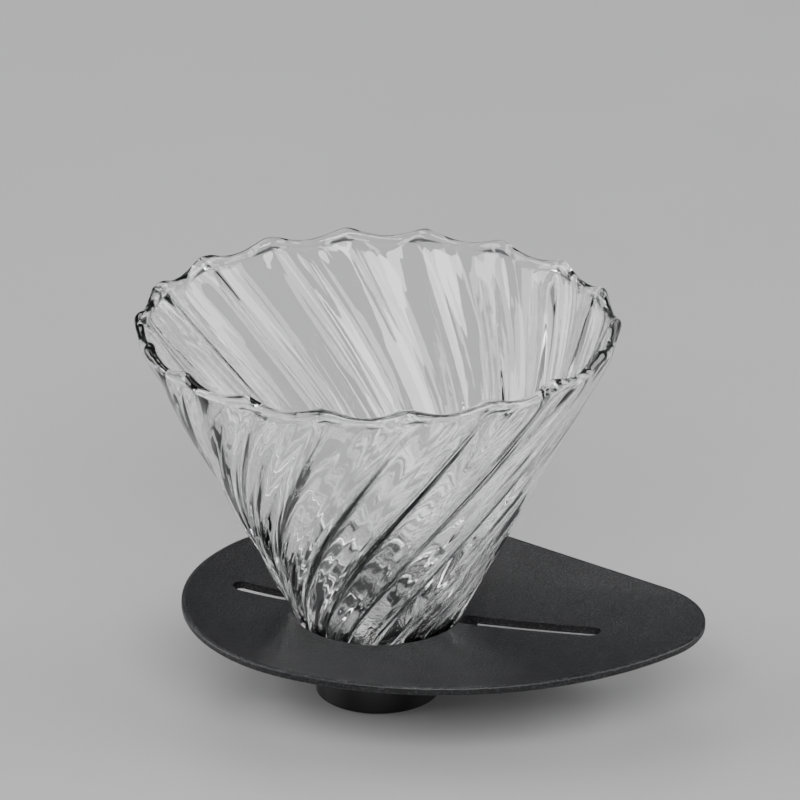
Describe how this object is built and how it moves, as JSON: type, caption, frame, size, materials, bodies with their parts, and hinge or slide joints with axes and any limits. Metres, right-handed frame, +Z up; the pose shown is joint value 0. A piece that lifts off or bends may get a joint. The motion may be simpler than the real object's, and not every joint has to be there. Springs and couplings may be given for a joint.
{
  "type": "pour over dripper",
  "caption": "Clear cone coffee dripper with spiral flutes and a waved rim, standing in a black dished plate with a handle end and radial viewing slots, on a short round foot.",
  "frame": {"origin": "on the cone axis, in the plane the foot stands on", "axes": "+Z up along the cone axis, +X along the viewing slots towards the handle end of the plate"},
  "size_m": [0.1369, 0.1146, 0.0972],
  "materials": {
    "clear_glass": "clear fire-polished borosilicate glass",
    "grained_black_plastic": "fine sand-blasted grain",
    "smooth_black_plastic": "smooth moulded, semi-gloss",
    "silicone": "matt food-grade silicone"
  },
  "bodies": {
    "holder": {"holder_plate": "grained_black_plastic", "neck_seal": "silicone"},
    "cone": {"glass_cone": "clear_glass"},
    "foot": {"foot_ring": "smooth_black_plastic"}
  },
  "joints": [
    {"name": "glass_lift", "type": "slide", "parent": "holder", "child": "cone", "axis": [0, 0, 1], "range_m": [0, 0.06]},
    {"name": "foot_twist", "type": "hinge", "parent": "holder", "child": "foot", "pos_m": [0, 0, 0], "axis": [0, 0, -1], "range_deg": [0, 60]}
  ]
}
